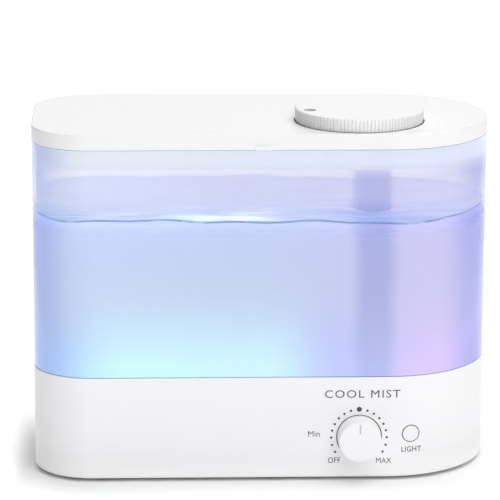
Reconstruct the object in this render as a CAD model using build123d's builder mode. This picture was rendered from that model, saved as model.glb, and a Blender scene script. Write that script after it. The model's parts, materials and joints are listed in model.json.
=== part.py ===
from build123d import *
import os
from math import cos, radians, sin

# Cool mist humidifier: D-shaped plan, a clear tank standing on a low base, a
# white lid with a turning mist nozzle. Millimetres, +Z up, the dial faces -Y.
# The origin is on the surface the feet stand on, at the middle of the outline.

os.makedirs("parts", exist_ok=True)

# ------------------------------------------------------------ driving sizes
LENGTH = 265.0  # left to right
DEPTH = 120.0  # front wall to back wall
CORNER_R = 34.0  # round corners of the left end; the right end is a half round
KNOB_OUT = 10.4  # how far the dial stands out of the front wall

BASE_Z0 = 2.0  # lower edge of the base wall, held up by the feet
BASE_Z1 = 62.5  # top of the base wall, at the seam
TANK_Z0 = 62.8
TANK_Z1 = 196.1
LID_Z0 = 196.4
LID_Z1 = 205.2

BASE_WALL = 2.6
TANK_WALL = 2.4
LID_WALL = 2.4
LID_TOP = 2.2
SKIRT_Z = 184.4  # lower edge of the lid's inner skirt
RIB_X = [-95.0, -62.0, -29.0, 4.0, 37.0, 70.0]

DECK_Z = 50.0  # underside of the deck plate
DECK_T = 2.4
FLOOR_Z = 66.0  # underside of the tank floor
FLOOR_T = 2.4
COVER_T = 2.4

NOZZLE_X, NOZZLE_Y = 56.5, -19.0
NOZZLE_R = 37.5  # at the top; the rim narrows downwards
NOZZLE_RB = 36.9
WELL_R = 37.7
WELL_Z = 202.4
WELL_T = 1.8
NOZZLE_HIGH = 213.1  # rim height on the outlet side
NOZZLE_LOW = 212.4
GROOVES = 108

CHIM_X, CHIM_Y = 65.0, -12.0
CHIM_RO, CHIM_RI = 12.5, 11.0
CHIM_Z0, CHIM_Z1 = 48.0, 185.2

VALVE_X, VALVE_Y = 25.0, 8.0
FLOAT_X, FLOAT_Y = 88.0, 18.0

KNOB_X, KNOB_Z, KNOB_R = 55.8, 26.6, 12.7
BUTTON_X, BUTTON_Z, BUTTON_R = 85.8, 28.0, 4.7

FAN_X, FAN_Y = -80.0, 0.0
JACK_X, JACK_Z = -88.0, 16.0

# The outline is moved back by half the dial's reach, so that the whole object
# is centred on the origin.
MID_Y = KNOB_OUT / 2
FRONT = -DEPTH / 2
END_X = LENGTH / 2 - DEPTH / 2  # centre of the half-round right end

SCREW_XY = [(-92, -54.4), (5, -54.4), (-70, 54.4), (20, 54.4), (84, 52.9), (126.6, 0)]
FEET_XY = [(-96, -30), (-96, 30), (88, -30), (88, 30)]
FAN_HOLES = [(FAN_X + i * 27, FAN_Y + j * 27) for i in (-1, 1) for j in (-1, 1)]
BOARD_XY = [(-5, -24), (45, -24), (-5, 34), (45, 34)]
CONTROL_XZ = [(44, 14), (44, 34), (80, 14)]
LAMP_A, LAMP_B = (-32.0, -10.0), (114.0, 0.0)


def level(z):
    """Horizontal plane at height z, centred on the outline."""
    return Plane(origin=(0, MID_Y, z), x_dir=(1, 0, 0), z_dir=(0, 0, 1))


def upright(y):
    """Vertical plane facing the front, y measured from the outline's middle."""
    return Plane(origin=(0, MID_Y + y, 0), x_dir=(1, 0, 0), z_dir=(0, -1, 0))


def d_plan(inset=0.0, mode=Mode.ADD):
    """The D outline, offset inwards by inset."""
    y = DEPTH / 2 - inset
    xl = -LENGTH / 2 + inset
    r = CORNER_R - inset
    with BuildLine(Plane.XY) as outline:
        Line((END_X, y), (xl + r, y))
        CenterArc((xl + r, y - r), r, 90, 90)
        Line((xl, y - r), (xl, r - y))
        CenterArc((xl + r, r - y), r, 180, 90)
        Line((xl + r, -y), (END_X, -y))
        CenterArc((END_X, 0), y, -90, 180)
    make_face(outline.line.edges(), mode=mode)


# ------------------------------------------------------------------- base
with BuildPart() as base_housing:
    with BuildSketch(level(BASE_Z0)):
        d_plan()
    extrude(amount=BASE_Z1 - BASE_Z0)
    fillet(base_housing.faces().sort_by(Axis.Z)[0].outer_wire().edges(), 1.8)
    fillet(base_housing.faces().sort_by(Axis.Z)[-1].outer_wire().edges(), 0.45)
    with BuildSketch(level(BASE_Z0)):
        d_plan(BASE_WALL)
    extrude(amount=BASE_Z1 - BASE_Z0, mode=Mode.SUBTRACT)
    # ledge that carries the deck
    with BuildSketch(level(DECK_Z - 2)):
        d_plan(2.0)
        d_plan(5.0, mode=Mode.SUBTRACT)
    extrude(amount=2)
    # posts for the bottom cover screws
    with BuildSketch(level(BASE_Z0 + COVER_T)):
        with Locations(*SCREW_XY):
            Circle(3.6)
    extrude(amount=20)
    with BuildSketch(level(BASE_Z0 + COVER_T)):
        with Locations(*SCREW_XY):
            Circle(1.25)
    extrude(amount=18, mode=Mode.SUBTRACT)
    # posts for the control board
    with BuildSketch(upright(FRONT + 12.4)):
        with Locations(*CONTROL_XZ):
            Circle(2.8)
    extrude(amount=10.4)
    with BuildSketch(upright(FRONT + 12.4)):
        with Locations(*CONTROL_XZ):
            Circle(1.0)
    extrude(amount=8, mode=Mode.SUBTRACT)
    # shallow seat round the dial, and the hole for its spindle
    with BuildSketch(upright(FRONT)):
        with Locations((KNOB_X, KNOB_Z)):
            Circle(KNOB_R + 0.6)
    extrude(amount=-0.8, mode=Mode.SUBTRACT)
    with BuildSketch(upright(FRONT)):
        with Locations((KNOB_X, KNOB_Z)):
            Circle(3.5)
    extrude(amount=-4, mode=Mode.SUBTRACT)
    # hole for the light button
    with BuildSketch(upright(FRONT)):
        with Locations((BUTTON_X, BUTTON_Z)):
            Circle(BUTTON_R + 0.3)
    extrude(amount=-9, mode=Mode.SUBTRACT)
    # hole for the power socket, in the back wall
    with BuildSketch(upright(DEPTH / 2)):
        with Locations((JACK_X, JACK_Z)):
            Circle(4.2)
    extrude(amount=4, mode=Mode.SUBTRACT)
    # shallow flat round the socket hole
    with BuildSketch(upright(DEPTH / 2)):
        with Locations((JACK_X, JACK_Z)):
            Circle(6.5)
    extrude(amount=0.6, mode=Mode.SUBTRACT)
base_housing.part.label = "base_housing"
export_step(base_housing.part, "parts/base_housing.step")

with BuildPart() as base_deck:
    with BuildSketch(level(DECK_Z)):
        d_plan(2.8)
    extrude(amount=DECK_T)
    # mouth of the water basin
    with BuildSketch(level(DECK_Z)):
        with Locations((55, 0)):
            RectangleRounded(90, 68, 10)
    extrude(amount=DECK_T, mode=Mode.SUBTRACT)
    fillet(base_deck.edges().filter_by_position(Axis.Z, DECK_Z + DECK_T - 0.01, DECK_Z + DECK_T + 0.01).filter_by(lambda e: abs(e.center().X - 55) < 49 and abs(e.center().Y - MID_Y) < 38), 0.8)
    # posts for the blower and for the lamp boards
    with BuildSketch(level(46)):
        with Locations(*FAN_HOLES):
            Circle(3.5)
    extrude(amount=4)
    with BuildSketch(level(46)):
        with Locations(*FAN_HOLES):
            Circle(1.3)
    extrude(amount=4, mode=Mode.SUBTRACT)
    with BuildSketch(level(44.6)):
        with Locations((LAMP_A[0] - 10.5, LAMP_A[1]), (LAMP_A[0] + 10.5, LAMP_A[1]), (LAMP_B[0], -11.5), (LAMP_B[0], 11.5)):
            Circle(2.3)
    extrude(amount=5.4)
    # windows for the lamp lenses
    with BuildSketch(level(DECK_Z)):
        with Locations(LAMP_A, LAMP_B):
            Circle(7.0)
    extrude(amount=DECK_T, mode=Mode.SUBTRACT)
base_deck.part.label = "base_deck"
export_step(base_deck.part, "parts/base_deck.step")

with BuildPart() as water_basin:
    with BuildSketch(level(28)):
        with Locations((55, 0)):
            RectangleRounded(94, 72, 12)
    extrude(amount=DECK_Z - 28)
    with BuildSketch(level(30)):
        with Locations((55, 0)):
            RectangleRounded(90, 68, 10)
    extrude(amount=DECK_Z - 30, mode=Mode.SUBTRACT)
    # seat under the basin for the mist disc
    with BuildSketch(level(23)):
        with Locations((CHIM_X, CHIM_Y)):
            Circle(15)
    extrude(amount=5)
    with BuildSketch(level(23)):
        with Locations((CHIM_X, CHIM_Y)):
            Circle(11.15)
    extrude(amount=5, mode=Mode.SUBTRACT)
    with BuildSketch(level(27)):
        with Locations((CHIM_X, CHIM_Y)):
            Circle(8.4)
    extrude(amount=4, mode=Mode.SUBTRACT)
    with BuildSketch(level(23)):
        with Locations((CHIM_X, CHIM_Y)):
            with PolarLocations(13.05, 3, start_angle=30):
                Circle(0.95)
    extrude(amount=4.5, mode=Mode.SUBTRACT)
    # air window in the left wall
    with BuildSketch(Plane(origin=(6, MID_Y, 0), x_dir=(0, 1, 0), z_dir=(1, 0, 0))):
        with Locations((20, 41.25)):
            Rectangle(16, 5.5)
    extrude(amount=6, mode=Mode.SUBTRACT)
    # post that opens the tank valve, and the post the float rides on
    with BuildSketch(level(29.9)):
        with Locations((VALVE_X, VALVE_Y)):
            Circle(3.0)
    extrude(amount=13.2)
    with BuildSketch(level(29.9)):
        with Locations((FLOAT_X, FLOAT_Y)):
            Circle(2.4)
    extrude(amount=17.1)
water_basin.part.label = "water_basin"
export_step(water_basin.part, "parts/water_basin.step")

with BuildPart() as base_bottom_cover:
    with BuildSketch(level(BASE_Z0)):
        d_plan(BASE_WALL + 0.2)
    extrude(amount=COVER_T)
    # air intake grille under the blower
    with BuildSketch(level(BASE_Z0)):
        with Locations((FAN_X, FAN_Y)):
            with GridLocations(0, 4.8, 1, 9):
                SlotOverall(38, 2.4)
    extrude(amount=COVER_T, mode=Mode.SUBTRACT)
    # vents under the driver board
    with BuildSketch(level(BASE_Z0)):
        with Locations((20, 5)):
            with GridLocations(0, 6, 1, 5):
                SlotOverall(30, 2.0)
    extrude(amount=COVER_T, mode=Mode.SUBTRACT)
    # seats for the feet
    with BuildSketch(level(BASE_Z0)):
        with Locations(*FEET_XY):
            Circle(7.5)
    extrude(amount=1, mode=Mode.SUBTRACT)
    # counterbored screw holes
    with BuildSketch(level(BASE_Z0)):
        with Locations(*SCREW_XY):
            Circle(3.0)
    extrude(amount=1.2, mode=Mode.SUBTRACT)
    with BuildSketch(level(BASE_Z0)):
        with Locations(*SCREW_XY):
            Circle(1.4)
    extrude(amount=COVER_T, mode=Mode.SUBTRACT)
    # frame that holds the intake sponge
    with BuildSketch(level(BASE_Z0 + COVER_T)):
        with Locations((FAN_X, FAN_Y)):
            RectangleRounded(52, 52, 4)
            RectangleRounded(49, 49, 3, mode=Mode.SUBTRACT)
    extrude(amount=4)
    # posts for the driver board
    with BuildSketch(level(BASE_Z0 + COVER_T)):
        with Locations(*BOARD_XY):
            Circle(2.8)
            Circle(1.0, mode=Mode.SUBTRACT)
    extrude(amount=4)
base_bottom_cover.part.label = "base_bottom_cover"
export_step(base_bottom_cover.part, "parts/base_bottom_cover.step")

with BuildPart() as rubber_feet:
    with BuildSketch(level(0)):
        with Locations(*FEET_XY):
            Circle(7.4)
    extrude(amount=3)
    fillet(rubber_feet.faces().filter_by_position(Axis.Z, -0.01, 0.01).edges(), 0.7)
rubber_feet.part.label = "rubber_feet"
export_step(rubber_feet.part, "parts/rubber_feet.step")

with BuildPart() as bottom_screws:
    with BuildSketch(level(2.2)):
        with Locations(*SCREW_XY):
            Circle(2.7)
    extrude(amount=1.0)
    with BuildSketch(level(3.2)):
        with Locations(*SCREW_XY):
            Circle(1.15)
    extrude(amount=13)
    with BuildSketch(level(2.2)):
        with Locations(*SCREW_XY):
            Rectangle(3.2, 0.7)
            Rectangle(0.7, 3.2)
    extrude(amount=0.5, mode=Mode.SUBTRACT)
bottom_screws.part.label = "bottom_screws"
export_step(bottom_screws.part, "parts/bottom_screws.step")

with BuildPart() as air_filter:
    with BuildSketch(level(BASE_Z0 + COVER_T)):
        with Locations((FAN_X, FAN_Y)):
            RectangleRounded(48.4, 48.4, 2.6)
    extrude(amount=3.6)
air_filter.part.label = "air_filter"
export_step(air_filter.part, "parts/air_filter.step")

# ------------------------------------------------------- mist transducer
with BuildPart() as transducer_disc:
    with BuildSketch(level(25.6)):
        with Locations((CHIM_X, CHIM_Y)):
            Circle(10.0)
    extrude(amount=1.2)
    with BuildSketch(level(24.9)):
        with Locations((CHIM_X, CHIM_Y)):
            Circle(5.5)
    extrude(amount=0.7)
transducer_disc.part.label = "transducer_disc"
export_step(transducer_disc.part, "parts/transducer_disc.step")

with BuildPart() as transducer_seal:
    with BuildSketch(level(23.05)):
        with Locations((CHIM_X, CHIM_Y)):
            Circle(11.05)
            Circle(8.3, mode=Mode.SUBTRACT)
    extrude(amount=4.9)
    with BuildSketch(level(25.55)):
        with Locations((CHIM_X, CHIM_Y)):
            Circle(10.05)
    extrude(amount=1.3, mode=Mode.SUBTRACT)
transducer_seal.part.label = "transducer_seal"
export_step(transducer_seal.part, "parts/transducer_seal.step")

with BuildPart() as transducer_clamp:
    with BuildSketch(level(20.8)):
        with Locations((CHIM_X, CHIM_Y)):
            Circle(14.8)
            Circle(6.0, mode=Mode.SUBTRACT)
            with PolarLocations(13.05, 3, start_angle=30):
                Circle(0.95, mode=Mode.SUBTRACT)
    extrude(amount=2.2)
transducer_clamp.part.label = "transducer_clamp"
export_step(transducer_clamp.part, "parts/transducer_clamp.step")

with BuildPart() as clamp_screws:
    with BuildSketch(level(19.6)):
        with Locations((CHIM_X, CHIM_Y)):
            with PolarLocations(13.05, 3, start_angle=30):
                Circle(1.6)
    extrude(amount=1.2)
    with BuildSketch(level(20.8)):
        with Locations((CHIM_X, CHIM_Y)):
            with PolarLocations(13.05, 3, start_angle=30):
                Circle(0.85)
    extrude(amount=6)
clamp_screws.part.label = "clamp_screws"
export_step(clamp_screws.part, "parts/clamp_screws.step")

# --------------------------------------------------------- driver board
with BuildPart() as driver_board:
    with BuildSketch(level(8.4)):
        with Locations((20, 5)):
            RectangleRounded(58, 66, 2)
        with Locations(*BOARD_XY):
            Circle(1.2, mode=Mode.SUBTRACT)
    extrude(amount=1.6)
driver_board.part.label = "driver_board"
export_step(driver_board.part, "parts/driver_board.step")

with BuildPart() as board_screws:
    with BuildSketch(level(10.0)):
        with Locations(*BOARD_XY):
            Circle(2.2)
    extrude(amount=1.4)
    with BuildSketch(level(4.6)):
        with Locations(*BOARD_XY):
            Circle(0.92)
    extrude(amount=5.4)
board_screws.part.label = "board_screws"
export_step(board_screws.part, "parts/board_screws.step")

with BuildPart() as driver_heatsink:
    with BuildSketch(level(10.0)):
        with Locations((-4.75, 5)):
            Rectangle(2.5, 46)
        with Locations((0.5, 5)):
            with GridLocations(0, 6.2, 1, 8):
                Rectangle(9, 1.2)
    extrude(amount=12)
driver_heatsink.part.label = "driver_heatsink"
export_step(driver_heatsink.part, "parts/driver_heatsink.step")

with BuildPart() as driver_transistor:
    with BuildSketch(level(12.5)):
        with Locations((-7.4, 6)):
            Rectangle(2.6, 10)
    extrude(amount=9)
    with BuildSketch(level(10.0)):
        with Locations((-7.4, 3.5), (-7.4, 6), (-7.4, 8.5)):
            Rectangle(0.8, 0.9)
    extrude(amount=2.6)
driver_transistor.part.label = "driver_transistor"
export_step(driver_transistor.part, "parts/driver_transistor.step")

with BuildPart() as driver_capacitors:
    with BuildSketch(level(10.0)):
        with Locations((20, 24), (32, 26)):
            Circle(4.0)
        with Locations((20, -16), (30, -17)):
            Circle(3.0)
    extrude(amount=9.5)
    fillet(driver_capacitors.faces().filter_by_position(Axis.Z, 19.4, 19.6).edges(), 0.6)
driver_capacitors.part.label = "driver_capacitors"
export_step(driver_capacitors.part, "parts/driver_capacitors.step")

with BuildPart() as driver_coil:
    with BuildSketch(level(10.0)):
        with Locations((34, 4)):
            Circle(7.0)
            Circle(3.0, mode=Mode.SUBTRACT)
    extrude(amount=6.5)
    fillet(driver_coil.faces().sort_by(Axis.Z)[-1].edges(), 1.2)
driver_coil.part.label = "driver_coil"
export_step(driver_coil.part, "parts/driver_coil.step")

with BuildPart() as driver_sockets:
    with BuildSketch(level(10.0)):
        with Locations((45, -13), (45, 0), (45, 13)):
            Rectangle(5.5, 9)
    extrude(amount=6)
    with BuildSketch(level(12.0)):
        with Locations((45, -13), (45, 0), (45, 13)):
            Rectangle(3.4, 7.2)
    extrude(amount=4, mode=Mode.SUBTRACT)
driver_sockets.part.label = "driver_sockets"
export_step(driver_sockets.part, "parts/driver_sockets.step")

# ----------------------------------------------------------------- blower
with BuildPart() as fan_housing:
    with BuildSketch(level(24)):
        with Locations((FAN_X, FAN_Y)):
            RectangleRounded(64, 64, 6)
    extrude(amount=20)
    with BuildSketch(level(26)):
        with Locations((FAN_X, FAN_Y)):
            Circle(28.5)
    extrude(amount=18, mode=Mode.SUBTRACT)
    with BuildSketch(level(24)):
        with Locations((FAN_X, FAN_Y)):
            Circle(17)
    extrude(amount=2, mode=Mode.SUBTRACT)
    # outlet channel, along the back of the scroll
    with BuildSketch(level(38.5)):
        with Locations((FAN_X + 20, FAN_Y + 20)):
            Rectangle(40, 16)
    extrude(amount=5.5, mode=Mode.SUBTRACT)
    with BuildSketch(level(24)):
        with Locations(*FAN_HOLES):
            Circle(1.6)
    extrude(amount=20, mode=Mode.SUBTRACT)
fan_housing.part.label = "fan_housing"
export_step(fan_housing.part, "parts/fan_housing.step")

with BuildPart() as fan_cover:
    with BuildSketch(level(44)):
        with Locations((FAN_X, FAN_Y)):
            RectangleRounded(64, 64, 6)
        with Locations(*FAN_HOLES):
            Circle(1.6, mode=Mode.SUBTRACT)
    extrude(amount=2)
fan_cover.part.label = "fan_cover"
export_step(fan_cover.part, "parts/fan_cover.step")

with BuildPart() as fan_motor:
    with BuildSketch(level(34.4)):
        with Locations((FAN_X, FAN_Y)):
            Circle(9.0)
    extrude(amount=9.6)
    with BuildSketch(level(34.4)):
        with Locations((FAN_X, FAN_Y)):
            Circle(1.06)
    extrude(amount=8, mode=Mode.SUBTRACT)
fan_motor.part.label = "fan_motor"
export_step(fan_motor.part, "parts/fan_motor.step")

with BuildPart() as fan_shaft:
    with BuildSketch(level(31.6)):
        with Locations((FAN_X, FAN_Y)):
            Circle(1.0)
    extrude(amount=10.4)
fan_shaft.part.label = "fan_shaft"
export_step(fan_shaft.part, "parts/fan_shaft.step")

with BuildPart() as fan_impeller:
    with BuildSketch(level(32)):
        with Locations((FAN_X, FAN_Y)):
            Circle(11.2)
            Circle(1.02, mode=Mode.SUBTRACT)
    extrude(amount=1.6)
    with BuildSketch(level(33.5)):
        with Locations((FAN_X, FAN_Y)):
            Circle(11.2)
            Circle(9.6, mode=Mode.SUBTRACT)
    extrude(amount=9.3)
    with BuildSketch(level(41.6)):
        with Locations((FAN_X, FAN_Y)):
            Circle(26)
            Circle(9.6, mode=Mode.SUBTRACT)
    extrude(amount=1.2)
    with BuildSketch(level(28.6)):
        with Locations((FAN_X, FAN_Y)):
            with PolarLocations(21.4, 22):
                Rectangle(7.6, 0.9, rotation=32)
    extrude(amount=13.1)
fan_impeller.part.label = "fan_impeller"
export_step(fan_impeller.part, "parts/fan_impeller.step")

with BuildPart() as fan_screws:
    with BuildSketch(level(22.8)):
        with Locations(*FAN_HOLES):
            Circle(2.8)
    extrude(amount=1.2)
    with BuildSketch(level(24)):
        with Locations(*FAN_HOLES):
            Circle(1.2)
    extrude(amount=25.4)
fan_screws.part.label = "fan_screws"
export_step(fan_screws.part, "parts/fan_screws.step")

with BuildPart() as air_duct:
    with BuildSketch(Plane(origin=(FAN_X + 32, MID_Y, 0), x_dir=(0, 1, 0), z_dir=(1, 0, 0))):
        with Locations((20, 41.25)):
            RectangleRounded(19, 8.5, 1.5)
            Rectangle(16, 5.5, mode=Mode.SUBTRACT)
    extrude(amount=8 - (FAN_X + 32))
air_duct.part.label = "air_duct"
export_step(air_duct.part, "parts/air_duct.step")

# ------------------------------------------------------------------ lamps
with BuildPart() as lamp_boards:
    with BuildSketch(level(43.0)):
        with Locations(LAMP_A):
            Rectangle(28, 16)
        with Locations(LAMP_B):
            Rectangle(13, 30)
    extrude(amount=1.6)
lamp_boards.part.label = "lamp_boards"
export_step(lamp_boards.part, "parts/lamp_boards.step")

LED_XY = [(LAMP_A[0] - 4, LAMP_A[1]), LAMP_A, (LAMP_A[0] + 4, LAMP_A[1]), (LAMP_B[0], -3), (LAMP_B[0], 3)]
with BuildPart() as leds:
    with BuildSketch(level(44.6)):
        with Locations(*LED_XY):
            Circle(1.5)
    extrude(amount=2.6)
    fillet(leds.faces().filter_by_position(Axis.Z, 47.1, 47.3).edges(), 1.0)
leds.part.label = "leds"
export_step(leds.part, "parts/leds.step")

with BuildPart() as lamp_lenses:
    with BuildSketch(level(48.4)):
        with Locations(LAMP_A, LAMP_B):
            Circle(8.0)
    extrude(amount=1.6)
    with BuildSketch(level(DECK_Z)):
        with Locations(LAMP_A, LAMP_B):
            Circle(6.9)
    extrude(amount=4.2)
    fillet(lamp_lenses.faces().filter_by_position(Axis.Z, 54.1, 54.3).edges(), 2.0)
lamp_lenses.part.label = "lamp_lenses"
export_step(lamp_lenses.part, "parts/lamp_lenses.step")

# --------------------------------------------------------- dial and button
with BuildPart() as control_board:
    with BuildSketch(upright(FRONT + 14.0)):
        with Locations((68.5, 24)):
            Rectangle(57, 28)
        with Locations(*CONTROL_XZ):
            Circle(1.2, mode=Mode.SUBTRACT)
    extrude(amount=1.6)
control_board.part.label = "control_board"
export_step(control_board.part, "parts/control_board.step")

with BuildPart() as control_screws:
    with BuildSketch(upright(FRONT + 15.4)):
        with Locations(*CONTROL_XZ):
            Circle(2.1)
    extrude(amount=1.4)
    with BuildSketch(upright(FRONT + 14.0)):
        with Locations(*CONTROL_XZ):
            Circle(0.92)
    extrude(amount=8)
control_screws.part.label = "control_screws"
export_step(control_screws.part, "parts/control_screws.step")

with BuildPart() as dial_potentiometer:
    with BuildSketch(upright(FRONT + 12.4)):
        with Locations((KNOB_X, KNOB_Z)):
            Circle(8.5)
    extrude(amount=7.8)
    with BuildSketch(upright(FRONT + 4.6)):
        with Locations((KNOB_X, KNOB_Z)):
            Circle(3.4)
    extrude(amount=3.6)
    with BuildSketch(upright(FRONT + 10.6)):
        with Locations((KNOB_X, KNOB_Z)):
            Circle(3.06)
    extrude(amount=9.7, mode=Mode.SUBTRACT)
dial_potentiometer.part.label = "dial_potentiometer"
export_step(dial_potentiometer.part, "parts/dial_potentiometer.step")

with BuildPart() as dial_shaft:
    with BuildSketch(upright(FRONT + 10.1)):
        with Locations((KNOB_X, KNOB_Z)):
            Circle(3.0)
    extrude(amount=18.0)
    with BuildSketch(upright(FRONT - 0.6)):
        with Locations((KNOB_X, KNOB_Z + 3.0)):
            Rectangle(7, 2.8)
    extrude(amount=8, mode=Mode.SUBTRACT)
dial_shaft.part.label = "dial_shaft"
export_step(dial_shaft.part, "parts/dial_shaft.step")

with BuildPart() as mist_knob:
    with BuildSketch(upright(FRONT + 0.5)):
        with Locations((KNOB_X, KNOB_Z)):
            Circle(KNOB_R)
    extrude(amount=KNOB_OUT + 0.5, taper=1.5)
    fillet(mist_knob.faces().sort_by(Axis.Y)[0].edges(), 1.3)
    # D-shaped socket for the spindle
    with BuildSketch(upright(FRONT + 0.5)):
        with Locations((KNOB_X, KNOB_Z)):
            Circle(3.03)
    extrude(amount=8.6, mode=Mode.SUBTRACT)
    # pointer line cut into the face
    with BuildSketch(upright(FRONT - KNOB_OUT)):
        with Locations((KNOB_X, KNOB_Z + 7.6)):
            SlotOverall(5.4, 0.75, rotation=90)
    extrude(amount=-0.45, mode=Mode.SUBTRACT)
mist_knob.part.label = "mist_knob"
export_step(mist_knob.part, "parts/mist_knob.step")

# The button's face follows the round end of the base, half a millimetre proud.
with BuildPart() as light_button:
    with BuildSketch(upright(FRONT + 8)):
        with Locations((BUTTON_X, BUTTON_Z)):
            Circle(BUTTON_R)
    extrude(amount=8.6)
    with BuildSketch(level(BUTTON_Z - 10)):
        d_plan(-0.5)
    extrude(amount=20, mode=Mode.INTERSECT)
    fillet(light_button.faces().sort_by(Axis.Y)[0].outer_wire().edges(), 0.35)
    with BuildSketch(upright(FRONT + 9.2)):
        with Locations((BUTTON_X, BUTTON_Z)):
            Circle(5.8)
    extrude(amount=1.2)
    with BuildSketch(upright(FRONT + 10.1)):
        with Locations((BUTTON_X, BUTTON_Z)):
            Circle(1.8)
    extrude(amount=1.0)
light_button.part.label = "light_button"
export_step(light_button.part, "parts/light_button.step")

with BuildPart() as light_switch:
    with BuildSketch(upright(FRONT + 12.4)):
        with Locations((BUTTON_X, BUTTON_Z)):
            Rectangle(6, 6)
    extrude(amount=1.0)
    with BuildSketch(upright(FRONT + 11.4)):
        with Locations((BUTTON_X, BUTTON_Z)):
            Circle(1.7)
    extrude(amount=0.4)
light_switch.part.label = "light_switch"
export_step(light_switch.part, "parts/light_switch.step")

# ----------------------------------------------------------- power socket
with BuildPart() as power_jack:
    with BuildSketch(upright(DEPTH / 2 - 2.7)):
        with Locations((JACK_X, JACK_Z)):
            RectangleRounded(11, 11, 0.8)
    extrude(amount=11.3)
    with BuildSketch(upright(DEPTH / 2 - 0.5)):
        with Locations((JACK_X, JACK_Z)):
            Circle(4.1)
    extrude(amount=2.3)
    with BuildSketch(upright(DEPTH / 2 - 0.5)):
        with Locations((JACK_X, JACK_Z)):
            Circle(2.9)
            Circle(1.0, mode=Mode.SUBTRACT)
    extrude(amount=9.5, mode=Mode.SUBTRACT)
    # lugs that carry the socket down to the bottom cover
    with BuildSketch(level(BASE_Z0 + COVER_T)):
        with Locations((JACK_X, 51.6)):
            Rectangle(9, 9)
    extrude(amount=JACK_Z - 5.5 - (BASE_Z0 + COVER_T) + 0.1)
power_jack.part.label = "power_jack"
export_step(power_jack.part, "parts/power_jack.step")

# ------------------------------------------------------- water level float
with BuildPart() as water_float:
    with BuildSketch(level(30.4)):
        with Locations((FLOAT_X, FLOAT_Y)):
            Circle(8.5)
            Circle(2.8, mode=Mode.SUBTRACT)
    extrude(amount=8)
    with BuildSketch(level(36.4)):
        with Locations((FLOAT_X, FLOAT_Y)):
            Circle(6.2)
    extrude(amount=2, mode=Mode.SUBTRACT)
water_float.part.label = "water_float"
export_step(water_float.part, "parts/water_float.step")

with BuildPart() as float_magnet:
    with BuildSketch(level(36.4)):
        with Locations((FLOAT_X, FLOAT_Y)):
            Circle(6.1)
            Circle(3.2, mode=Mode.SUBTRACT)
    extrude(amount=1.9)
float_magnet.part.label = "float_magnet"
export_step(float_magnet.part, "parts/float_magnet.step")

with BuildPart() as float_retainer:
    with BuildSketch(level(45.0)):
        with Locations((FLOAT_X, FLOAT_Y)):
            Circle(4.8)
            Circle(2.45, mode=Mode.SUBTRACT)
    extrude(amount=1.6)
float_retainer.part.label = "float_retainer"
export_step(float_retainer.part, "parts/float_retainer.step")

with BuildPart() as reed_sensor:
    with BuildSketch(level(25.0)):
        with Locations((FLOAT_X, FLOAT_Y)):
            RectangleRounded(16, 5, 1)
    extrude(amount=3.0)
reed_sensor.part.label = "reed_sensor"
export_step(reed_sensor.part, "parts/reed_sensor.step")

# ------------------------------------------------------------------- tank
with BuildPart() as tank_shell:
    with BuildSketch(level(TANK_Z0)):
        d_plan()
    extrude(amount=TANK_Z1 - TANK_Z0)
    fillet(tank_shell.faces().sort_by(Axis.Z)[0].outer_wire().edges(), 0.45)
    with BuildSketch(level(FLOOR_Z + FLOOR_T)):
        d_plan(TANK_WALL)
    extrude(amount=TANK_Z1 - FLOOR_Z - FLOOR_T, mode=Mode.SUBTRACT)
    with BuildSketch(level(TANK_Z0)):
        d_plan(TANK_WALL)
    extrude(amount=FLOOR_Z - TANK_Z0, mode=Mode.SUBTRACT)
    # locating skirt that drops inside the base wall
    with BuildSketch(level(52.6)):
        d_plan(3.0)
        d_plan(4.8, mode=Mode.SUBTRACT)
    extrude(amount=FLOOR_Z - 52.6 + 0.2)
    # holes for the mist chimney and the valve
    with BuildSketch(level(FLOOR_Z)):
        with Locations((CHIM_X, CHIM_Y)):
            Circle(CHIM_RO + 0.3)
        with Locations((VALVE_X, VALVE_Y)):
            Circle(12.2)
    extrude(amount=FLOOR_T, mode=Mode.SUBTRACT)
tank_shell.part.label = "tank_shell"
export_step(tank_shell.part, "parts/tank_shell.step")

with BuildPart() as mist_chimney:
    with BuildSketch(level(CHIM_Z0)):
        with Locations((CHIM_X, CHIM_Y)):
            Circle(CHIM_RO)
    extrude(amount=CHIM_Z1 - CHIM_Z0)
    with BuildSketch(level(FLOOR_Z + FLOOR_T + 1)):
        with Locations((CHIM_X, CHIM_Y)):
            Circle(16)
    extrude(amount=2)
    with BuildSketch(level(CHIM_Z0)):
        with Locations((CHIM_X, CHIM_Y)):
            Circle(CHIM_RI)
    extrude(amount=CHIM_Z1 - CHIM_Z0, mode=Mode.SUBTRACT)
mist_chimney.part.label = "mist_chimney"
export_step(mist_chimney.part, "parts/mist_chimney.step")

with BuildPart() as chimney_seal:
    with BuildSketch(level(FLOOR_Z + FLOOR_T)):
        with Locations((CHIM_X, CHIM_Y)):
            Circle(15.6)
            Circle(CHIM_RO + 0.05, mode=Mode.SUBTRACT)
    extrude(amount=1)
chimney_seal.part.label = "chimney_seal"
export_step(chimney_seal.part, "parts/chimney_seal.step")

with BuildPart() as chimney_nut:
    with BuildSketch(level(61)):
        with Locations((CHIM_X, CHIM_Y)):
            RegularPolygon(17, 8)
            Circle(CHIM_RO + 0.05, mode=Mode.SUBTRACT)
    extrude(amount=5)
chimney_nut.part.label = "chimney_nut"
export_step(chimney_nut.part, "parts/chimney_nut.step")

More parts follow.
